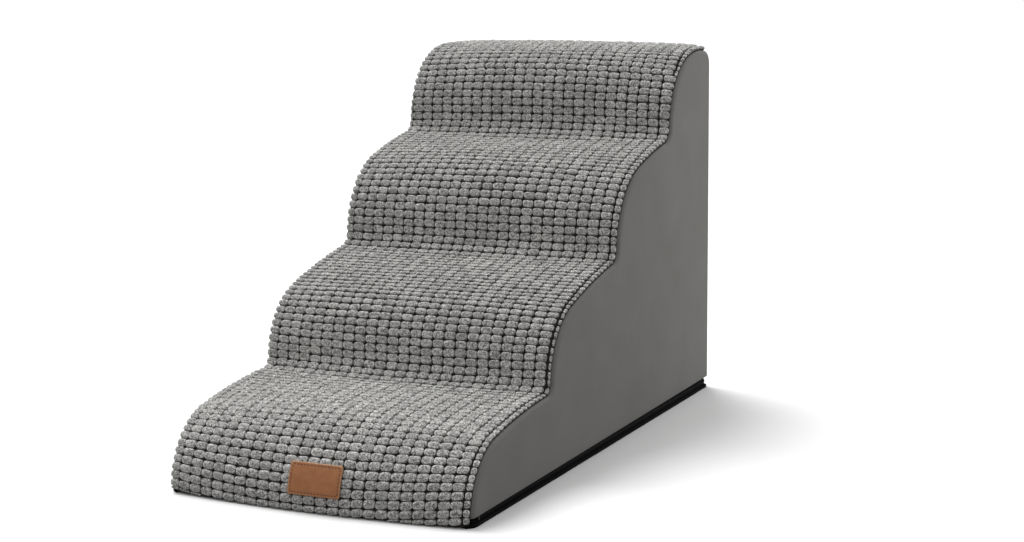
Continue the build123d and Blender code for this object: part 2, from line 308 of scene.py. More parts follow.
def side_line(outset, rear_inset=0.0, hollow_radius=hollow_edge_radius):
    """The line from the floor at the front to the end of the rear top corner."""
    floor_level = 0.0 * outset
    pieces = [(front_setback - outset, floor_level, front_slope, front_slope, front_straight)]
    slopes = (front_slope, *first_slopes)
    for number in range(len(corner_depth_shares)):
        start = place_on(pieces[-1], 1.0)[:2]
        slope = slopes[-1]
        radius = hollow_radius * hollow_shares[number]
        setback = radius * math.tan((riser_slope - slope) / 2)
        corner = corner_place(number, slope, outset)
        tread_end = (corner[0] - setback * math.cos(slope), corner[1] - setback * math.sin(slope))
        pieces += two_arcs(start, tread_end, slopes)
        pieces.append((*tread_end, slope, riser_slope, -radius))
        slopes = (riser_slope, *step_slopes)
    start = place_on(pieces[-1], 1.0)[:2]
    top_start = (overall_depth * top_flat_depth_share + floor_level, top_line + outset)
    pieces += two_arcs(start, top_start, (riser_slope, top_nose_slope, level_slope))
    bend_start = rear_face - rear_inset - rear_top_radius
    pieces.append((*top_start, level_slope, level_slope, bend_start - top_start[0]))
    pieces.append((bend_start, top_start[1], level_slope, -math.pi / 2, rear_top_radius))
    return pieces


def span_of(piece):
    """Length of a piece."""
    return abs(piece[4] * (piece[3] - piece[2])) if piece[2] != piece[3] else piece[4]


# %% Places along the line
reference_outset = pile_height + 0.4 * cover_crown
pile_end_share = 0.2
spans = [float(span_of(piece)) for piece in side_line(reference_outset)]
marks = np.concatenate(([0.0], np.cumsum(spans)))
pile_end = marks[-2] + pile_end_share * spans[-1]
print("pile strip", round(pile_end, 3), "m long,", len(spans), "arcs and lines")


def on_line(outset, place, rear_inset=0.0, hollow_radius=hollow_edge_radius):
    """Depth, height and slope of places that are counted along the line from the floor."""
    measured = side_line(reference_outset, 0.0, hollow_radius)
    found = [np.zeros(np.broadcast(outset, place, hollow_radius).shape) for _ in range(3)]
    low = -1.0
    for piece, yardstick in zip(side_line(outset, rear_inset, hollow_radius), measured):
        start = np.maximum(low, 0.0)
        high = start + span_of(yardstick)
        share = (place - start) / (high - start)
        for values, here in zip(found, place_on(piece, share)):
            values[...] = np.where(place >= low, here, values)
        low = high
    return found


# %% Crown across the width
hollow_places = [(marks[i] + marks[i + 1]) / 2 for i in (3, 6, 9)]
full_puff_length = 60 * mm
puff_places = np.array((0.0, marks[1] + full_puff_length, hollow_places[0], marks[5], hollow_places[1],
                        marks[8], hollow_places[2], marks[11], marks[-1]))
puff_shares = np.array((1.0, 1.0, 0.05, 0.5, 0.0, 0.42, -0.2, 0.25, 0.2))


def puff(place):
    """Share of the full crown at a place along the line: full at the front, none in a hollow."""
    number = np.clip(np.searchsorted(puff_places, place, side="right") - 1, 0, len(puff_places) - 2)
    share = (place - puff_places[number]) / (puff_places[number + 1] - puff_places[number])
    low, high = puff_shares[number], puff_shares[number + 1]
    return low + (high - low) * share ** 2 * (3 - 2 * share)


def corner_fall(x, place):
    """How much lower the padding is at the rear top corners, which the cover pulls round."""
    near = np.clip((place - pile_end) / corner_fall_reach + 1, 0, 1)
    return corner_fall_depth * near ** 2 * (np.abs(x) / side_face) ** corner_fall_power


def dome(x):
    """A share that is one in the middle of the width and falls to nought at both edges."""
    return 1 - np.minimum(np.abs(x) / crown_edge, 1) ** 2


def crown(x, place):
    """How far the padding pushes the cloth out, at a place across the width and along the line."""
    middle_part = cover_crown * puff(place) * dome(x)
    past = np.clip(np.abs(x) - crown_edge, 0, edge_radius)
    return middle_part - edge_radius + np.sqrt(edge_radius ** 2 - past ** 2) - corner_fall(x, place)


# %% Points on the cover
steepest_share = 0.99


def hollow_radius_at(x):
    """The cloth bridges the hollows in a wide curve that tightens towards the seams."""
    return hollow_edge_radius + (hollow_middle_radius - hollow_edge_radius) * dome(x)


def shorter_by(x):
    """How much shorter the way down the steps is than along the seams, because of the curves."""
    pieces = side_line(reference_outset, 0.0, hollow_radius_at(x))
    return marks[-2] - sum(span_of(piece) for piece in pieces[:-1])


def tilt(x):
    """How far the cloth leans sideways at a place across the width, as an angle."""
    across = np.abs(x)
    past = np.clip(across - crown_edge, 0, edge_radius * steepest_share)
    rolled = past / np.sqrt(edge_radius ** 2 - past ** 2)
    return np.arctan(np.maximum(2 * cover_crown * np.minimum(across, crown_edge) / crown_edge ** 2, rolled))


def xyz(x, y, z):
    """Points from three coordinates, where one number may serve them all."""
    return np.stack(np.broadcast_arrays(x, y, z), axis=-1)


def on_cover(x, place, lift):
    """Points on the cover, lifted square off the cloth."""
    lean = tilt(x)
    depth, height, _ = on_line(crown(x, place) + lift * np.cos(lean), place, 0.0, hollow_radius_at(x))
    return xyz(x + np.sign(x) * lift * np.sin(lean), depth - half_depth, height)


# %% [markdown]
# ## Mesh helpers
# Most pieces here are grids: rows and columns of points that a formula has placed. A grid
# whose rows close on themselves is a tube, and one that draws in to a tip is a dome. One
# function makes a mesh from any number of grids and welds the points that they share;
# another gives a thin cloth its thickness inwards and hides the imported part it stands for.

# %% Objects and faces


def make_object(name, mesh, material):
    """An object at the origin that holds a finished mesh and rides with the stairs."""
    mesh.name = name
    mesh.materials.append(material)
    thing = put_in_scene(name, mesh)
    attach(thing, "stairs")
    print(name, len(mesh.polygons), "faces")
    return thing


def grid_faces(rows, columns, first=0, closed=False):
    """Quads of a grid whose points are numbered row by row; closed joins its row ends."""
    row, column = np.meshgrid(np.arange(rows - 1), np.arange(columns - (not closed)), indexing="ij")
    row, column = row.ravel(), column.ravel()
    after = (column + 1) % columns
    here, above = row * columns, (row + 1) * columns
    return first + np.stack([here + column, here + after, above + after, above + column], axis=1)


def tube_faces(rings, sides, first=0):
    """Quads round a closed tube, and a face at each of its ends."""
    last = first + (rings - 1) * sides
    ends = [tuple(range(first, first + sides)), tuple(reversed(range(last, last + sides)))]
    return grid_faces(rings, sides, first, closed=True).tolist() + ends


def dome_faces(rings, sides, copies):
    """Quads round a dome, the fan at its tip and its flat foot, for a number of copies."""
    tip = rings * sides
    faces = grid_faces(rings, sides, closed=True).tolist()
    faces += [(tip - sides + i, tip - sides + (i + 1) % sides, tip) for i in range(sides)]
    faces.append(tuple(reversed(range(sides))))
    return [tuple(i + copy * (tip + 1) for i in face) for copy in range(copies) for face in faces]


def full_turn(count):
    """Angles of even steps round a circle."""
    return np.arange(count) * 2 * math.pi / count


# %% Meshes from grids
weld_distance = 0.02 * mm


def new_mesh(points, faces):
    """A smooth mesh from a grid of points and the faces between them."""
    mesh = bpy.data.meshes.new("mesh")
    mesh.from_pydata(points.reshape(-1, 3).tolist(), [], faces)
    mesh.shade_smooth()
    return mesh


def welded_mesh(points, faces, outward=None):
    """A smooth welded mesh; outward is a direction that most of its faces look to."""
    mesh = new_mesh(points, faces)
    editable = bmesh.new()
    editable.from_mesh(mesh)
    bmesh.ops.remove_doubles(editable, verts=editable.verts, dist=weld_distance)
    bmesh.ops.recalc_face_normals(editable, faces=editable.faces)
    if outward is not None:
        total = sum((face.normal * face.calc_area() for face in editable.faces), Vector())
        if total.dot(Vector(outward)) < 0:
            bmesh.ops.reverse_faces(editable, faces=editable.faces)
    editable.to_mesh(mesh)
    editable.free()
    return mesh


def mesh_from_grids(grids, outward):
    """One welded mesh from several grids of points."""
    faces, first = [], 0
    for grid in grids:
        faces += grid_faces(*grid.shape[:2], first).tolist()
        first += grid.shape[0] * grid.shape[1]
    return welded_mesh(np.concatenate([grid.reshape(-1, 3) for grid in grids]), faces, outward)


def give_attribute(mesh, name, values):
    """A number for each point of a mesh, which a material reads by its name."""
    attribute = mesh.attributes.new(name, "FLOAT", "POINT")
    attribute.data.foreach_set("value", np.ascontiguousarray(values, dtype=np.float32).ravel())


# %% Cloth
cloth_thickness = 1.0 * mm
wave_count = 6
wave_spread = (0.7, 1.5)


def stretch(cloth, node, **flat_size):
    modifier = cloth.modifiers.new("cloth_thickness", "SOLIDIFY")
    modifier.thickness = cloth_thickness
    modifier.offset = -1
    evaluated = cloth.evaluated_get(bpy.context.evaluated_depsgraph_get())
    solid = bpy.data.meshes.new_from_object(evaluated)
    cloth.modifiers.clear()
    cloth.data = solid
    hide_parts(node)


def ripple(points, size, height, seed):
    """Smooth unevenness from a few crossed waves, for cloth that is never quite flat."""
    chance = np.random.default_rng(seed)
    total = np.zeros(points.shape[:-1])
    for _ in range(wave_count):
        way = chance.normal(size=3)
        way *= 2 * math.pi / (size * chance.uniform(*wave_spread) * np.linalg.norm(way))
        total += np.sin(points @ way + chance.uniform(0, 2 * math.pi))
    return total * height / wave_count


# %% [markdown]
# ## Chenille pile
# The tufts are short cut yarn, so tightly bound that each one stands up like a small
# pillow. To the eye that is a soft grey with light fibre tips over dark roots, a fuzzy
# speckle about a millimetre across, and no gloss at all, only a pale sheen where the
# fibres are seen from the side. Each point of a tuft carries its height, so that the
# material can darken the roots: partly the yarn's own darker roots, partly painted shade
# where the fibres shade each other. Each point also carries a share of painted highlight,
# which lightens the rounded upper rim of a tuft as if its fibres caught the light.

# %% Materials of the pile strip


def chenille_material():
    """Cut chenille yarn: speckled fibre tips, roots darkened partly by painted shade, a painted highlight on
    rims.
    """
    material, add, place = new_material("polyester_chenille_pile")
    fibre_size, bundle_size, wear_size = 1.05 * mm, 1.4 * mm, 90 * mm
    tips = add("TexNoise", {"Vector": place, "Scale": 1 / fibre_size, "Detail": 3.0, "Roughness": 0.75})
    bundles = add("TexVoronoi", {"Vector": place, "Scale": 1 / bundle_size}, feature="F1")
    wear = add("TexNoise", {"Vector": place, "Scale": 1 / wear_size, "Detail": 2.0})
    height, shade, highlight = (add("Attribute", attribute_name="tuft_" + part).outputs["Fac"]
                               for part in ("height", "shade", "highlight"))
    bundle_tone = add("SeparateColor", {0: bundles.outputs["Color"]})
    mixed = add("Math", {0: bundle_tone, 1: 0.35, 2: tips}, operation="MULTIPLY_ADD")
    speckle = add("MapRange", {"Value": mixed, "From Min": 0.46, "From Max": 0.88})
    fibres = add("Mix", {0: speckle, 6: linear("#4a4847"), 7: linear("#f4f3f0")}, data_type="RGBA")
    tone = add("Math", {0: wear, 1: 0.16, 2: 0.92}, operation="MULTIPLY_ADD")
    # Painted highlight: the upper rim of each tuft is lightened, as if its fibres caught the light.
    painted_rim_highlight = add("Math", {0: highlight, 1: 0.5, 2: 0.75}, operation="MULTIPLY_ADD")
    for factor in (shade, painted_rim_highlight):
        tone = add("Math", {0: tone, 1: factor}, operation="MULTIPLY")
    toned = add("VectorMath", {0: fibres.outputs[2], "Scale": tone}, operation="SCALE")
    # Darker towards the roots: partly the yarn's own darker roots, partly painted shade where the tufts shade
    # each other.
    depth = add("MapRange", {"Value": height, "From Min": -0.02, "From Max": 0.92},
                interpolation_type="SMOOTHSTEP")
    colour = add("Mix", {0: depth, 6: linear("#383635"), 7: toned}, data_type="RGBA")
    relief = add("Math", {0: tips, 1: bundles}, operation="SUBTRACT")
    finish_material(add, {"Base Color": colour.outputs[2], "Roughness": 0.95, "Specular IOR Level": 0.15,
                          "Sheen Weight": 0.6, "Sheen Roughness": 0.45, "Sheen Tint": linear("#e4e3e1")},
                    relief, strength=0.9, depth=0.9 * mm)
    return material


def woven_material(name, spacing, dark, pale, weave, strength, depth, gloss, **settings):
    """Cloth of crossed threads: tones of the crossings, evenness of the weave, bump and gloss."""
    material, add, place = new_material(name)
    threads = add("TexVoronoi", {"Vector": place, "Scale": 1 / spacing, "Randomness": weave},
                  feature="F1", distance="CHEBYCHEV")
    colour = add("Mix", {0: threads, 6: linear(pale), 7: linear(dark)}, data_type="RGBA")
    finish_material(add, {"Base Color": colour.outputs[2], **gloss}, threads, strength, depth, **settings)
    return material


def backing_material():
    """Woven polyester ground of the pile, dark grey: partly its own colour, partly painted shade in the gaps.
    """
    # The dark weave also stands in as painted shade in the gaps between the tufts.
    return woven_material("woven_polyester_backing", 0.8 * mm, dark="#2f2d2c", pale="#454341", weave=0.2,
                          strength=0.6, depth=0.3 * mm,
                          gloss={"Roughness": 0.95, "Specular IOR Level": 0.1})


# %% [markdown]
# ## Tufts
# Every tuft is a small closed pillow: rings of points on a rounded rectangle that draw in
# towards the top. A displaced plane would be quicker, but it can't undercut, and the dark
# gaps between the tufts are what the eye reads first. The rings are given in places along
# the cover and lifted off it, so the tufts bend with the steps and crowd in the hollow
# corners as the real ones do. The last column on each side is cut by the seam and
# rolls over the edge.

# %% One tuft
ring_points = 18
ring_width_shares = np.array((0.88, 0.96, 1.0, 1.0, 0.96, 0.85, 0.56))
ring_length_shares = np.array((0.86, 0.97, 1.0, 0.95, 0.82, 0.62, 0.34))
ring_height_shares = np.array((-0.06, 0.16, 0.38, 0.60, 0.80, 0.92, 0.985))
# Share of painted highlight on each ring from foot to top: brightest on the upper rim.
ring_highlight_shares = np.array((0, 0.1, 0.4, 0.9, 1.0, 0.6, 0.15, 0.0))
squareness = 2 / 3.4


def tuft_shape():
    """Shares along, across and up for the points of one tuft, from foot to top."""
    angles = full_turn(ring_points) + math.pi / ring_points
    along = np.sign(np.sin(angles)) * np.abs(np.sin(angles)) ** squareness
    across = np.sign(np.cos(angles)) * np.abs(np.cos(angles)) ** squareness
    rings = [xyz(along * length, across * width, height)
             for length, width, height in zip(ring_length_shares, ring_width_shares, ring_height_shares)]
    return np.concatenate([*rings, [[0.0, 0.0, 1.0]]])


# %% Tufts of one row
column_pitch = 15.5 * mm
spread_places = (0.0, 0.30, 0.55, 0.85, 1.0)
column_spreads = (0.06, 0.035, -0.02, -0.01, 0.0)
column_gap_places = (0.0, 0.15, 0.27)
column_gaps = np.array((0.7, 0.8, 1.0)) * mm
edge_columns = ((0.0, 6.0, 1.8), (0.13, 5.5, 1.8), (0.24, 4.5, 2.2), (0.28, 1.6, 3.0), (0.36, 1.2, 3.2),
                (0.42, 3.5, 2.4), (0.50, 5.5, 2.0), (0.58, 6.5, 1.8), (0.66, 6.0, 1.6), (0.70, 7.0, 1.6),
                (0.76, 10.0, 1.6), (0.80, 12.5, 1.6), (0.868, 15.5, 1.6), (0.872, 1.0, 3.0),
                (0.90, 3.5, 2.8), (0.94, 6.5, 2.2), (1.0, 9.5, 1.8))
edge_places, edge_widths, edge_gaps = np.array(edge_columns).T
end_tuck = 1 * mm
end_tuck_reach = 30 * mm
smallest_tuft = 1.8 * mm
seam_overhang = 0.4 * mm
edge_sway = 0.5 * mm
slow_sway, quick_sway = 0.21, 0.083


def tuft_row(place):
    """Left and right edge of each tuft in one row, from the right seam to the left."""
    share = place / pile_end
    width = float(np.interp(share, edge_places, edge_widths * mm))
    gap = float(np.interp(share, edge_places, edge_gaps * mm))
    column_gap = float(np.interp(share, column_gap_places, column_gaps))
    spread = float(np.interp(share, spread_places, column_spreads))
    sway = edge_sway * math.sin(place / slow_sway) * math.sin(place / quick_sway)
    tuck = end_tuck * max(0.0, 1 - (pile_end - place) / end_tuck_reach)
    right = seam_place - width + sway
    row = [(right, seam_place + seam_overhang - tuck, 1)]
    right -= gap
    while right > -seam_place + smallest_tuft:
        left = right - column_pitch * (1 - spread * right / seam_place)
        last = left < -seam_place + smallest_tuft
        low = tuck - seam_place - seam_overhang if last else left + column_gap
        row.append((low, right, int(last)))
        right = left
    return row


# %% Where all the tufts stand
row_pitch = 10.6 * mm
pitch_places = (0.0, 0.26, 0.33, 0.40, 0.50, 0.80, 1.0)
pitch_shares = (1.0, 0.97, 0.91, 0.93, 1.0, 1.0, 1.0)
row_gaps = np.array((0.3, 0.8, 1.0, 1.2, 1.2, 1.1, 1.1)) * mm
row_skew = 0.015
row_bow = 14 * mm
corner_lift = 4.5 * mm
corner_lift_power = 8
row_sway = 0.3 * mm
row_sway_reach = 0.05
row_sway_turn = 0.4
full_width_share, full_length_share = 0.6, 0.5
narrow_length, narrow_height = 0.85, 0.55
wobble_sizes = np.array((0.2 * mm, 0.2 * mm, 0.02, 0.012, 0.03, 0.04, 0.35 * mm))
tone_range = (0.88, 1.10)


def tuft_places(chance):
    """Place, middle, half length, half width, height, tone, turn and lean of every tuft."""
    place = cover_bottom - row_pitch / 2
    rows = 0
    found = []
    while place < pile_end + row_pitch:
        pitch = row_pitch * float(np.interp(place / pile_end, pitch_places, pitch_shares))
        row_gap = float(np.interp(place / pile_end, pitch_places, row_gaps))
        place += pitch
        rows += 1
        left_over = max(0.0, 1 - place / pile_end)
        for left, right, at_edge in tuft_row(place):
            middle_x = (left + right) / 2
            shorter = float(shorter_by(middle_x))
            bow = row_bow * ((middle_x / seam_place) ** 2 - 1)
            middle = place - shorter + left_over * (bow + row_skew * middle_x)
            middle += row_sway * math.sin(middle_x / row_sway_reach + rows * row_sway_turn)
            bottom = cover_bottom + corner_lift * (middle_x / seam_place) ** corner_lift_power
            low = max(middle - (pitch - row_gap) / 2, bottom)
            high = min(middle + (pitch - row_gap) / 2, pile_end - shorter)
            if high - low < smallest_tuft:
                continue
            narrow = min(1, (right - left) / (full_width_share * column_pitch),
                         (high - low) / (full_length_share * pitch))
            along, sideways, longer, wider, taller, turned, leaning = chance.normal(size=7) * wobble_sizes
            found.append((
                (low + high) / 2 + shorter + along,
                middle_x + sideways * (1 - at_edge),
                (high - low) / 2 * (1 + longer) * (narrow_length + (1 - narrow_length) * narrow),
                (right - left) / 2 * (1 + wider),
                pile_height * (narrow_height + (1 - narrow_height) * narrow) * (1 + taller),
                chance.uniform(*tone_range),
                turned + left_over * (2 * row_bow * middle_x / seam_place ** 2 + row_skew),
                leaning,
            ))
    return np.array(found), rows


# %% Tuft meshes, one for each step
tuft_seed = 11
fuzz_size = 0.10 * mm
fuzz_from_height = 0.3
uneven_way = np.array((0.5, -0.6, 0.6))


def tuft_mesh(tufts, chance):
    """All the given tufts in one mesh, with their heights, tones and painted highlight shares as attributes.
    """
    shape = tuft_shape()
    place, middle_x, half_length, half, height, tone, turn, lean = (tufts[:, i, None] for i in range(8))
    fuzz = chance.normal(scale=fuzz_size, size=(len(tufts), len(shape), 3))
    rise = np.broadcast_to(np.clip(shape[:, 2], 0, 1), fuzz.shape[:2])
    across = shape[:, 1] * half
    along = place + shape[:, 0] * half_length + across * turn + lean * rise + fuzz[..., 0]
    x = middle_x + across + fuzz[..., 1]
    lift = shape[:, 2] * height + np.where(shape[:, 2] > fuzz_from_height, fuzz[..., 2], 0)
    shorter = shorter_by(x)
    points = on_cover(x, np.clip(along - shorter, cover_bottom, pile_end - shorter), lift)
    uneven = ripple(points, size=5 * mm, height=0.45 * mm, seed=23)
    points += uneven[..., None] * uneven_way * rise[..., None]
    rings = len(ring_width_shares)
    mesh = new_mesh(points, dome_faces(rings, ring_points, len(tufts)))
    # Each point carries its height, its tuft's tone and its ring's share of painted highlight.
    highlight = np.repeat(ring_highlight_shares, [*[ring_points] * rings, 1])
    for part, values in (("height", shape[:, 2]), ("highlight", highlight), ("shade", tone)):
        give_attribute(mesh, "tuft_" + part, np.broadcast_to(values, x.shape))
    return mesh


chance = np.random.default_rng(tuft_seed)
tufts, tuft_rows = tuft_places(chance)
chenille = chenille_material()
step_marks = (0.0, marks[2], marks[4], marks[6], marks[7], marks[9], marks[10], marks[12], pile_end)
step_names = ("first_nose", "first_tread", "second_nose", "second_tread", "third_nose", "third_tread",
              "top_nose", "top_tread")
for name, low, high in zip(step_names, step_marks, step_marks[1:]):
    chosen = tufts[(tufts[:, 0] >= low) & (tufts[:, 0] < high)]
    make_object(name + "_tufts", tuft_mesh(chosen, chance), chenille)
print(len(tufts), "tufts in", tuft_rows, "rows")

# %% Ground cloth of the strip
backing_step = 4 * mm
backing_columns = np.linspace(-seam_place, seam_place, 97)[None, :]
backing_shares = np.linspace(0, 1, int(pile_end / backing_step))[:, None]
backing_length = pile_end - shorter_by(backing_columns) - cover_bottom
edge_tuck = 1.2 * mm
edge_tuck_reach = 1.5 * mm
from_edge = np.minimum(seam_place - np.abs(backing_columns), (1 - backing_shares) * backing_length)
tucked = -edge_tuck * np.exp(-from_edge / edge_tuck_reach)
backing_grid = on_cover(backing_columns, cover_bottom + backing_shares * backing_length, tucked)
backing = mesh_from_grids([backing_grid], (0, -1, 1))
tread_ground = make_object("tread_ground_cloth", backing, backing_material())
stretch(tread_ground, "tread_cover", flat=(2 * seam_place, pile_end))
print("ground cloth", round(2 * seam_place, 3), "x", round(pile_end, 3), "m flat")

# %% [markdown]
# ## Side and back panels
# The panels are knitted polyester, brushed so that it looks like smooth suede. They are
# stretched over the foam, roll over its edges and end in a turned hem above the zip.
# Each side panel is one welded mesh of three grids: a strip that rolls over the edge all
# the way from the front to the rear, the flat side below it and the hem. At the seams the
# cloth dips a little, because the thread pulls it down.

# %% Material of the panels


def knit_material():
    """Brushed polyester knit: small loops under a nap that lies unevenly."""
    material, add, place = new_material("brushed_polyester_knit")
    stitch_spacing, nap_size, cloud_size = 0.9 * mm, 3.5 * mm, 70 * mm
    loops = add("TexVoronoi", {"Vector": place, "Scale": 1 / stitch_spacing, "Randomness": 0.55},
                feature="F1")
    nap = add("TexNoise", {"Vector": place, "Scale": 1 / nap_size, "Detail": 4.0, "Roughness": 0.6})
    clouds = add("TexNoise", {"Vector": place, "Scale": 1 / cloud_size, "Detail": 2.0})
    mixed = add("Math", {0: nap, 1: 0.45, 2: clouds}, operation="MULTIPLY_ADD")
    spread = add("MapRange", {"Value": mixed, "From Min": 0.45, "From Max": 1.0})
    colour = add("Mix", {0: spread, 6: linear("#757471"), 7: linear("#7e7d7b")}, data_type="RGBA")
    finish_material(add, {"Base Color": colour.outputs[2], "Roughness": 0.9, "Specular IOR Level": 0.2,
                          "Sheen Weight": 0.15, "Sheen Roughness": 0.5, "Sheen Tint": linear("#cfcdc9")},
                    loops, strength=0.35, depth=0.15 * mm)
    return material


knit = knit_material()

# %% Sections of the panels
band_height = 15.5 * mm
hem_roll = 0.8 * mm
hem_depth = 3.25 * mm
hem_height = 5 * mm
panel_bottom = band_height + hem_roll
seam_dip = 0.9 * mm
right_droop = 4.5 * mm
droop_reach = 60 * mm
down_steps = 40
line_step = 4 * mm


def section(x, outset, rear_inset):
    """Depth and height of points from the front bottom over the top to the rear bottom."""
    trial = np.linspace(0, marks[2], 200)
    start = np.interp(panel_bottom, on_line(outset, trial, rear_inset)[1], trial)
    places = start + (marks[-1] - start) * np.linspace(0, 1, int(marks[-1] / line_step))
    depth, height, _ = on_line(outset - corner_fall(x, places), places, rear_inset)
    falls = height[-1] + (panel_bottom - height[-1]) * np.linspace(0, 1, down_steps + 1)[1:]
    return (np.concatenate([depth, np.full(down_steps, depth[-1])]),
            np.concatenate([height, falls]))


def hem_rows(edge, out_x, out_y):
    """Rows that turn a panel's lower edge in and up, from points along that edge."""
    turns = ((0.0, hem_roll), (0.25 * hem_roll, 0.3 * hem_roll), (hem_roll, 0.0),
             (hem_depth - 0.3 * mm, 0.0), (hem_depth, 0.4 * mm), (hem_depth, hem_height))
    return np.stack([xyz(edge[:, 0] - inward * out_x, edge[:, 1] - inward * out_y, band_height + rise)
                     for inward, rise in turns])


# %% Side panels
seam_gap = 0.1 * mm
roll_start = math.asin((seam_place + seam_gap - crown_edge) / edge_radius)
roll_rows = 12
dip_shares = (1.0, 0.35, 0.08)
roll_angles = np.linspace(roll_start, math.pi / 2, roll_rows)
roll_dips = seam_dip * np.pad(dip_shares, (0, roll_rows - len(dip_shares)))


def side_panel_grids(droop):
    """Grids of the right panel: the rolled strip, the flat side and the hem."""
    strip = []
    for angle, dip in zip(roll_angles, roll_dips):
        drop = edge_radius * (1 - math.cos(angle)) + dip
        across = crown_edge + edge_radius * math.sin(angle)
        depth, height = section(across, -drop, drop)
        strip.append(xyz(across, depth - half_depth, height))
    strip = np.stack(strip)
    brink = strip[-1][:-down_steps]
    shares = np.linspace(0, 1, down_steps + 1)[:, None]
    side = xyz(side_face, brink[:, 1], brink[:, 2] + (panel_bottom - brink[:, 2]) * shares)
    side[..., 0] += ripple(side, size=120 * mm, height=0.35 * mm, seed=3) * np.sin(np.pi * shares) ** 0.5
    front, foot, rear = strip[:-1, 0], side[-1], strip[-2::-1, -1]
    angles = np.concatenate([roll_angles[:-1], np.full(len(foot), math.pi / 2), roll_angles[-2::-1]])
    facing = np.repeat((-1, 0, 1), (len(front), len(foot), len(rear)))
    hem = hem_rows(np.concatenate([front, foot, rear]), np.sin(angles), facing * np.cos(angles))
    for grid in (strip, side, hem):
        low = np.clip(1 - (grid[..., 2] - panel_bottom) / droop_reach, 0, 1) ** 2
        grid[..., 2] -= droop * low * (half_depth - grid[..., 1]) / overall_depth
    return [strip, side, hem]


def polygon_area(outline):
    """Area of a closed outline of two coordinates."""
    y, z = outline[:, 0], outline[:, 1]
    return abs(float(np.dot(y, np.roll(z, 1)) - np.dot(z, np.roll(y, 1)))) / 2


side_outline = np.stack(section(side_face, 0.0, 0.0), axis=1)
side_cut = (rear_face - front_setback, top_line - panel_bottom)
for side, way, droop in (("right", 1, right_droop), ("left", -1, 0.0)):
    grids = [grid * np.array((way, 1, 1)) for grid in side_panel_grids(droop)]
    panel = make_object(side + "_side_cloth", mesh_from_grids(grids, (way, 0, 0)), knit)
    stretch(panel, side + "_side_panel", flat=side_cut, area=polygon_area(side_outline))

# %% Back panel
back_columns = np.linspace(-seam_place + seam_gap, seam_place - seam_gap, 65)
pile_tucks = (1.8 * mm, 1.5 * mm, 0.8 * mm)
edge_dips = {0: seam_dip, 1: 0.3 * seam_dip}
rounding = 0.01 * mm


def back_panel_grid():
    """Columns across the back, from the pile's end over the rear top corner and down."""
    columns = []
    for number, x in enumerate(back_columns):
        outset = float(crown(x, pile_end) + corner_fall(x, pile_end))
        drop = max(0.0, edge_radius - math.sqrt(edge_radius ** 2 - max(0.0, abs(x) - crown_edge) ** 2))
        from_edge = min(number, len(back_columns) - 1 - number)
        dip = edge_dips.get(from_edge, 0.0)
        depth, height = section(x, outset - dip, drop + dip)
        last_arc = depth >= rear_face - drop - dip - rear_top_radius - rounding
        columns.append(xyz(x, depth[last_arc] - half_depth, height[last_arc]))
    rows = min(len(column) for column in columns)
    grid = np.stack([column[-rows:] for column in columns], axis=1)
    for row, tuck in enumerate(pile_tucks):
        grid[row, :, 2] -= tuck
    return grid


flat_above = 460 * mm
flat_reach = 30 * mm
back_grid = back_panel_grid()
freedom = np.clip((flat_above - back_grid[..., 2]) / flat_reach, 0, 1)
back_grid[..., 1] += ripple(back_grid, size=140 * mm, height=0.4 * mm, seed=8) * freedom
back_mesh = mesh_from_grids([back_grid, hem_rows(back_grid[-1], 0, 1)], (0, 1, 0))
back_cloth = make_object("back_cloth", back_mesh, knit)
stretch(back_cloth, "back_panel", flat=(2 * seam_place, top_line - band_height))

# %% [markdown]
# ## Foam core
# The core is two slabs of open-cell polyurethane foam, cut with a hot wire and glued one
# on the other. Nobody sees it while the cover is on, but the cover takes its shape from
# it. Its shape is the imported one, drawn in where the cloth lies flatter. The cut cells
# make it matte, slightly translucent to the eye and full of small pores.

# %% Foam


def foam_material():
    """Cut open-cell foam: cream cells with darker walls, matte all over."""
    material, add, place = new_material("open_cell_polyurethane_foam")
    cell_size = 1.2 * mm
    cells = add("TexVoronoi", {"Vector": place, "Scale": 1 / cell_size}, feature="F1")
    colour = add("Mix", {0: cells, 6: linear("#b9b098"), 7: linear("#ece7d6")}, data_type="RGBA")
    finish_material(add, {"Base Color": colour.outputs[2], "Roughness": 0.95, "Specular IOR Level": 0.2},
                    cells, strength=0.5, depth=0.4 * mm)
    return material


# %% Slabs, drawn in where the cloth lies flatter
foam = foam_material()
foam_cut_size = 18 * mm
foam_raise_share = 0.8
cut_places = np.linspace(0, marks[-1], 600)
cut_depths, cut_heights, cut_slopes = on_line(0.0, cut_places)
cut_reach = 30 * mm
raise_from = 380 * mm
low_corner_height = 25 * mm
low_corner_reach = 45 * mm
low_corner_inset = 14 * mm


def under_the_cloth(point):
    """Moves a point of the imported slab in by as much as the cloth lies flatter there."""
    apart = np.hypot(cut_depths - half_depth - point.y, cut_heights - point.z)
    near = int(np.argmin(apart))
    place, slope = cut_places[near], cut_slopes[near]
    inward = cover_crown * (1 - puff(place)) * dome(point.x) * (apart[near] < cut_reach)
    share = np.clip((point.z - raise_from) / (overall_height - top_raise - raise_from), 0, 1)
    lifted = (foam_raise_share * top_raise - corner_fall(point.x, place)) * share
    low = np.clip(2 - point.z / low_corner_height, 0, 1)
    outer = np.clip(1 - (half_width - abs(point.x)) / low_corner_reach, 0, 1)
    front = np.clip(1 - (point.y + half_depth - front_setback) / low_corner_reach, 0, 1)
    rounded = low_corner_inset * low * outer * front
    return Vector((point.x - math.copysign(rounded, point.x), point.y + inward * math.sin(slope) + rounded,
                   point.z - inward * math.cos(slope) + lifted))


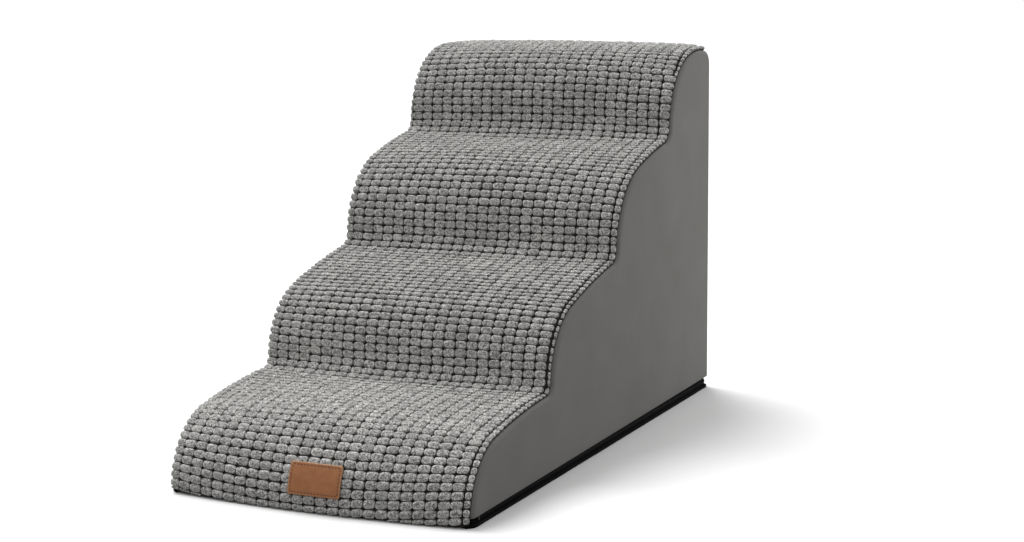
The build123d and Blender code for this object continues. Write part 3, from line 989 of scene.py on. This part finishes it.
for name in ("foam_lower_block", "foam_upper_block"):
    editable = bmesh.new()
    editable.from_mesh(nodes[name].data)
    bmesh.ops.remove_doubles(editable, verts=editable.verts, dist=rounding)
    bmesh.ops.triangulate(editable, faces=editable.faces)
    long_edges = [edge for edge in editable.edges if edge.calc_length() > foam_cut_size * 2]
    bmesh.ops.subdivide_edges(editable, edges=long_edges, cuts=3)
    bmesh.ops.triangulate(editable, faces=editable.faces)
    for vertex in editable.verts:
        vertex.co = under_the_cloth(vertex.co)
    block_mesh = bpy.data.meshes.new(name + "_slab")
    editable.to_mesh(block_mesh)
    editable.free()
    slab = make_object(name + "_slab", block_mesh, foam)
    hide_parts(name)

# %% [markdown]
# ## The line round the bottom
# The base cloth, its bound edge, the tapes and the coils all follow the same outline:
# down one side, round the rear corners and up the other side, with a small corner at the
# front where they end under the pile. A helper gives points on that outline at any inset,
# with the direction that looks outwards, and a second one sweeps a closed profile along
# it.

# %% Outline helpers
base_corner_radius = 14 * mm


def bottom_line(inset, spacing, start_x=seam_place):
    """Points and outward directions from the front left round the rear to the front right."""
    side, rear, radius = half_width - inset, half_depth - inset, base_corner_radius - inset
    bow_radius = (side ** 2 + front_setback ** 2) / (2 * front_setback)
    corner_x = side - radius
    corner_y = inset - half_depth + bow_radius - math.sqrt((bow_radius - radius) ** 2 - corner_x ** 2)
    first = -math.acos((start_x - corner_x) / radius)
    front_turn = np.linspace(first, 0, max(4, int(-first * radius / spacing)))
    rear_turn = np.linspace(0, math.pi / 2, max(5, int(math.pi / 2 * radius / spacing)))
    run = np.linspace(corner_y, rear - radius, int((rear - radius - corner_y) / spacing))[1:-1]
    cross = np.linspace(corner_x, -corner_x, int(2 * corner_x / spacing))[1:-1]
    angles = np.concatenate([front_turn, np.zeros(len(run)), rear_turn])
    centre_y = np.concatenate([np.full(len(front_turn), corner_y), run,
                               np.full(len(rear_turn), rear - radius)])
    right_ways = np.stack([np.cos(angles), np.sin(angles)], axis=1)
    right = np.stack([np.full(len(angles), corner_x), centre_y], axis=1) + radius * right_ways
    back = np.stack([cross, np.full(len(cross), rear)], axis=1)
    mirror = np.array((-1, 1))
    points = np.concatenate([right, back, right[::-1] * mirror])
    ways = np.concatenate([right_ways, np.broadcast_to((0, 1), back.shape), right_ways[::-1] * mirror])
    return points[::-1], ways[::-1]


def sweep(points, ways, profile, wave=0.0):
    """A closed profile of outward distance and height, swept along the outline."""
    out, height = np.array(profile).T
    place = points[:, None] + ways[:, None] * out[:, None]
    grid = xyz(place[..., 0], place[..., 1], height)
    grid[..., :2] += ways[:, None] * ripple(grid, size=60 * mm, height=wave, seed=17)[..., None]
    return welded_mesh(grid, tube_faces(*grid.shape[:2]))


def distances(points):
    """How far along a line each of its points is."""
    return np.concatenate(([0], np.cumsum(np.linalg.norm(np.diff(points, axis=0), axis=1))))


# %% [markdown]
# ## Base cloth
# The bottom is black woven polyester with small dots of soft plastic printed on its
# underside, which keep the stairs from sliding. Its edge is bound with a folded ribbon
# that stands a millimetre proud of the side panels.

# %% Material of the base cloth


def black_weave_material(name, spacing, dark, pale):
    """Black polyester cloth of crossed threads with the given spacing."""
    return woven_material(name, spacing, dark, pale, weave=0.12, strength=0.6, depth=spacing * 0.3,
                          gloss={"Roughness": 0.9, "Specular IOR Level": 0.04}, invert=True)


base_weave = black_weave_material("black_oxford_weave", 1.2 * mm, "#070708", "#151516")
ribbon_weave = black_weave_material("black_ribbon_weave", 0.9 * mm, "#060607", "#121213")

# %% Base sheet
base_low = 0.5 * mm
base_high = 1.5 * mm
base_inset = 2 * mm
base_front = 5.5 * mm
tuck_x = 187 * mm
edge_points, _ = bottom_line(base_inset, 6 * mm, tuck_x)
front_xs = np.linspace(edge_points[-1, 0], edge_points[0, 0], 60)[1:-1]
front_ys = base_front - half_depth + front_setback * (front_xs / half_width) ** 2
front_row = np.stack([front_xs, front_ys], axis=1)
outline = np.concatenate([edge_points, front_row])
count = len(outline)
base_points = np.concatenate([np.c_[outline, np.full(count, height)] for height in (base_high, base_low)])
walls = [(i, (i + 1) % count, count + (i + 1) % count, count + i) for i in range(count)]
base_faces = [tuple(range(count)), tuple(reversed(range(count, 2 * count)))] + walls
base_mesh = welded_mesh(base_points, base_faces)
base_mesh.shade_flat()
base_cloth = make_object("base_cloth", base_mesh, base_weave)
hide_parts("base_panel")

# %% Bound edge
rim_profile = np.array(((-4.3, 0.3), (-3.0, 0.05), (-1.6, 0.0), (-0.7, 0.3), (-0.15, 1.1), (0.0, 2.1),
                        (-0.15, 3.1), (-0.6, 3.75), (-1.5, 4.0), (-3.0, 3.95), (-4.3, 3.8))) * mm
rim_waviness = 0.15 * mm
rim = sweep(*bottom_line(0.0, 2 * mm, tuck_x + 3 * mm), rim_profile, rim_waviness)
binding = make_object("base_binding", rim, ribbon_weave)

# %% Grip dots


def dot_material():
    """Soft vinyl printed on cloth: a black rubber look with a dull shine."""
    material, add, _ = new_material("soft_vinyl_grip_dots")
    finish_material(add, {"Base Color": linear("#1a1a1b"), "Roughness": 0.5, "IOR": 1.53})
    return material


def dome_mesh(centres, radius, foot, tip, sides=10):
    """Small domes that hang from a height down to a tip."""
    angles = full_turn(sides)
    levels = ((1.0, 0.0), (0.92, 0.55), (0.60, 0.9))
    rings = [xyz(radius * share * np.cos(angles), radius * share * np.sin(angles), foot + (tip - foot) * down)
             for share, down in levels]
    shape = np.concatenate([*rings, [[0, 0, tip]]])
    points = np.concatenate([shape + np.array((x, y, 0)) for x, y in centres])
    return welded_mesh(points, dome_faces(len(levels), sides, len(centres)))


dot_pitch = 14 * mm
dot_margin = 16 * mm
dot_rows = int((overall_depth - front_setback - 2 * dot_margin) / (dot_pitch / 2))
dot_centres = []
for row in range(dot_rows):
    y = half_depth - dot_margin - row * dot_pitch / 2
    shift = (row % 2) * dot_pitch / 2
    across = np.arange(-half_width + dot_margin + shift, half_width - dot_margin, dot_pitch)
    dot_centres += [(x, y) for x in across]
dot_radius = 1.6 * mm
dot_foot = 0.6 * mm
dots = dome_mesh(dot_centres, dot_radius, dot_foot, 0.0)
make_object("grip_dots", dots, dot_material())
print(len(dot_centres), "grip dots")

# %% [markdown]
# ## Zip
# A number five nylon zip has two woven tapes, and on the edge of each a spiral of nylon
# wire whose turns lock into those of the other. The spirals are modelled turn by turn: a
# flattened coil of wire, half a turn out of step with its partner, so that the heads mesh
# in the middle. The slider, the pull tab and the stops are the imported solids, which
# already have the real shape; they get black lacquer.

# %% Materials of the zip


def nylon_material():
    """Moulded nylon wire: smooth and black, with a soft shine."""
    material, add, _ = new_material("black_nylon_wire")
    finish_material(add, {"Base Color": linear("#060607"), "Roughness": 0.5, "Specular IOR Level": 0.18})
    return material


def lacquer_material():
    """Die-cast zinc under black stoved lacquer: glossy, with a faint orange-peel surface."""
    material, add, place = new_material("black_lacquered_zinc")
    peel_size = 0.7 * mm
    peel = add("TexNoise", {"Vector": place, "Scale": 1 / peel_size, "Detail": 2.0})
    finish_material(add, {"Base Color": linear("#0e0e0f"), "Roughness": 0.38, "Specular IOR Level": 0.3},
                    peel, strength=0.15, depth=0.05 * mm)
    return material


lacquer = lacquer_material()
for name in ("zip_slider", "zip_pull_tab", "zip_top_stops", "zip_bottom_stop"):
    for place in nodes[name].material_slots:
        place.material = lacquer

# %% Tapes
tape_inset = 4.4 * mm
tape_thickness = 0.7 * mm
lower_tape_high = 7.8 * mm
upper_tape_low, upper_tape_high = 10.2 * mm, 20.5 * mm
tape_weave = black_weave_material("black_zip_tape_weave", 0.7 * mm, "#060607", "#111112")


def tape_profile(low, high):
    """Section of a tape: flat, with soft edges."""
    thin, edge = tape_thickness, 0.15 * mm
    middle = (low + high) / 2
    return [(-thin + edge, low), (-edge, low), (0, low + edge), (0, middle), (0, high - edge),
            (-edge, high), (-thin + edge, high), (-thin, high - edge), (-thin, middle), (-thin, low + edge)]


tape_points, tape_ways = bottom_line(tape_inset, 2 * mm, tuck_x)
for name, low, high in (("zip_tape_lower", cover_bottom, lower_tape_high),
                        ("zip_tape_upper", upper_tape_low, upper_tape_high)):
    ribbon = sweep(tape_points, tape_ways, tape_profile(low, high))
    make_object(name + "_ribbon", ribbon, tape_weave)
    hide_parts(name)
facing_inset = 6.25 * mm
facing_high = 20 * mm
facing_profile = [(0, cover_bottom), (0, facing_high), (-0.2 * mm, facing_high), (-0.2 * mm, cover_bottom)]
facing_mesh = sweep(*bottom_line(facing_inset, 2 * mm, tuck_x), facing_profile)
facing = make_object("zip_facing", facing_mesh, tape_weave)

# %% Coils
zip_height = 9 * mm
coil_pitch = 1.5 * mm
coil_turn_points = 10
wire_radius = 0.27 * mm
wire_sides = 5
coil_half_depth = 0.7 * mm
coil_half_height = 1.2 * mm
coil_mesh_depth = 0.25 * mm
coil_left_start = -357.6 * mm
coil_right_end = -363.0 * mm


def coil_mesh(side, phase):
    """A flattened spiral of wire along the outline; side is -1 for the lower row."""
    points, ways = bottom_line(tape_inset - coil_half_depth, 1 * mm)
    kept = points[:, 1] > np.where(points[:, 0] < 0, coil_left_start, coil_right_end)
    points, ways = points[kept], ways[kept]
    travelled = distances(points)
    count = int(travelled[-1] / coil_pitch * coil_turn_points)
    along = np.linspace(wire_radius, travelled[-1] - wire_radius, count)
    x, y, way_x, way_y = (np.interp(along, travelled, values) for values in (*points.T, *ways.T))
    size = np.hypot(way_x, way_y)
    outward, forward = xyz(way_x / size, way_y / size, 0.0), xyz(way_y / size, -way_x / size, 0.0)
    upward = np.array((0.0, 0.0, 1.0))
    turns = (2 * math.pi * along / coil_pitch + phase)[:, None]
    radial = outward * np.sin(turns) + upward * np.cos(turns)
    reach_out = coil_half_depth - wire_radius
    reach_up = coil_half_height - wire_radius + coil_mesh_depth / 2
    centre = xyz(x, y, zip_height + side * (coil_half_height - coil_mesh_depth / 2))
    wire = centre + outward * reach_out * np.sin(turns) + upward * reach_up * np.cos(turns)
    angles = full_turn(wire_sides)[:, None]
    ring = radial[:, None] * np.cos(angles) + forward[:, None] * np.sin(angles)
    return new_mesh(wire[:, None] + wire_radius * ring, tube_faces(count, wire_sides))


nylon = nylon_material()
for name, side, phase in (("zip_coil_lower", -1, 0.0), ("zip_coil_upper", 1, math.pi)):
    spiral = make_object(name + "_spiral", coil_mesh(side, phase), nylon)
    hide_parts(name)

# %% [markdown]
# ## Leather patch
# A patch of tanned leather is sewn low on the front, bent round the first nose. The cut
# edge shows the paler inside of the hide, and the thread pulls a groove into the surface.
# It is left bare.

# %% Patch sizes and its curved place
patch_width = 68 * mm
patch_height = 36 * mm
patch_thickness = 1.6 * mm
patch_low_edge = 21 * mm
patch_offset = 6 * mm
patch_corner_radius = 3 * mm
patch_air = 0.1 * mm
stitch_margin = 3.0 * mm
patch_arc = side_line(cover_crown + pile_height + patch_air)[1]
patch_radius = patch_arc[4]
patch_centre = (patch_arc[0] + patch_radius * math.sin(front_slope),
                patch_arc[1] - patch_radius * math.cos(front_slope))


def on_patch(across, up, lift):
    """Points on the bent patch, from its middle outwards, lifted off its back."""
    height = patch_low_edge + patch_height / 2 + up
    slope = np.arccos((height - patch_centre[1]) / (patch_radius + patch_thickness))
    reach = patch_radius + lift
    return xyz(across + patch_offset, patch_centre[0] - reach * np.sin(slope) - half_depth,
               patch_centre[1] + reach * np.cos(slope))


def rounded_corners(across, up):
    """Bends the corners of a square grid round, and gives each point's distance to the edge."""
    corner_x = patch_width / 2 - patch_corner_radius
    corner_y = patch_height / 2 - patch_corner_radius
    past_x, past_y = np.abs(across) - corner_x, np.abs(up) - corner_y
    at_corner = (past_x > 0) & (past_y > 0)
    reach = np.maximum(past_x, past_y)
    length = np.where(at_corner, np.hypot(past_x, past_y), 1)
    across = np.where(at_corner, np.sign(across) * (corner_x + past_x * reach / length), across)
    up = np.where(at_corner, np.sign(up) * (corner_y + past_y * reach / length), up)
    return across, up, patch_corner_radius - reach


# %% Leather


def leather_material():
    """Vegetable-tanned cowhide, dyed tan: fine pores, a waxy dull shine, pale cut edges."""
    material, add, place = new_material("tan_cowhide")
    grain_size, cloud_size = 1.4 * mm, 11 * mm
    grain = add("TexVoronoi", {"Vector": place, "Scale": 1 / grain_size}, feature="DISTANCE_TO_EDGE")
    clouds = add("TexNoise", {"Vector": place, "Scale": 1 / cloud_size, "Detail": 5.0, "Roughness": 0.65})
    edge = add("Attribute", attribute_name="cut_edge")
    dye = add("Mix", {0: clouds, 6: linear("#8e5936"), 7: linear("#ba7d50")}, data_type="RGBA")
    colour = add("Mix", {0: edge.outputs["Fac"], 6: dye.outputs[2], 7: linear("#b99273")},
                 data_type="RGBA")
    finish_material(add, {"Base Color": colour.outputs[2], "Roughness": 0.62, "Specular IOR Level": 0.35},
                    grain, strength=0.35, depth=0.12 * mm)
    return material


bevel = 0.7 * mm
bevel_droop = 0.5 * mm
pale_width = 0.3 * mm
patch_columns, patch_rows = 97, 57
groove_depth = 0.32 * mm
groove_width = 0.55 * mm


def patch_mesh():
    """Front with rounded edges, wall and back of the patch in one closed mesh."""
    line_x = np.linspace(-1, 1, patch_columns) * patch_width / 2
    line_y = np.linspace(-1, 1, patch_rows) * patch_height / 2
    across, up, edge = rounded_corners(*np.meshgrid(line_x, line_y, indexing="ij"))
    droop = bevel_droop * (1 - np.clip(edge / bevel, 0, 1)) ** 2
    groove = groove_depth * np.exp(-((edge - stitch_margin) / groove_width) ** 2)
    front = on_patch(across, up, patch_thickness - droop - groove)
    front += ripple(front, size=6 * mm, height=0.05 * mm, seed=5)[..., None] * np.array((0, -1, 0.4))
    rows, columns = across.shape
    count = rows * columns
    index = np.arange(count).reshape(rows, columns)
    rim = np.concatenate([index[:, 0], index[-1, 1:], index[-2::-1, -1], index[0, -2:0:-1]]).tolist()
    faces = grid_faces(rows, columns).tolist() + grid_faces(rows, columns, count)[:, ::-1].tolist()
    faces += [(a, b, b + count, a + count) for a, b in zip(rim, rim[1:] + rim[:1])]
    mesh = welded_mesh(np.stack([front, on_patch(across, up, 0.0)]), faces)
    pale = np.clip(1 - (edge - pale_width) / bevel, 0, 1)
    give_attribute(mesh, "cut_edge", np.stack([pale, np.ones_like(pale)]))
    return mesh


leather_patch = make_object("leather_patch", patch_mesh(), leather_material())
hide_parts("label_patch")

# %% Stitches


def thread_material():
    """Waxed polyester thread, dark brown, twisted from three strands."""
    material, add, place = new_material("waxed_polyester_thread")
    twist_size = 0.35 * mm
    twist = add("TexNoise", {"Vector": place, "Scale": 1 / twist_size})
    finish_material(add, {"Base Color": linear("#2b1a12"), "Roughness": 0.6},
                    twist, strength=0.5, depth=0.1 * mm)
    return material


stitch_length = 2.7 * mm
stitch_gap_length = 1.6 * mm
thread_radius = 0.42 * mm
stitch_arch = 0.28 * mm
thread_sink = 0.1 * mm
thread_rings = 7
thread_sides = 6


def stitch_mesh():
    """Short threads along a rectangle, each arched with its ends in the leather."""
    half_x, half_y = patch_width / 2 - stitch_margin, patch_height / 2 - stitch_margin
    corners = [np.array((x * half_x, y * half_y)) for x, y in ((-1, -1), (1, -1), (1, 1), (-1, 1))]
    stations = np.linspace(-0.5, 0.5, thread_rings)[:, None]
    thick = thread_radius * (1 - 0.5 * (2 * stations) ** 4)
    angles = full_turn(thread_sides)
    lift = patch_thickness - thread_sink - stitch_arch * (2 * stations) ** 4 + thick * np.sin(angles)
    points, faces = [], []
    for start, end in zip(corners, corners[1:] + corners[:1]):
        length = np.linalg.norm(end - start)
        way = (end - start) / length
        count = round(length / (stitch_length + stitch_gap_length))
        for number in range(count):
            spot = start + way * ((number + 0.5) * length / count + stations * stitch_length)
            x = spot[:, :1] - way[1] * thick * np.cos(angles)
            y = spot[:, 1:] + way[0] * thick * np.cos(angles)
            faces += tube_faces(thread_rings, thread_sides, thread_rings * thread_sides * len(points))
            points.append(on_patch(x, y, lift).reshape(-1, 3))
    return welded_mesh(np.concatenate(points), faces)


make_object("patch_stitches", stitch_mesh(), thread_material())
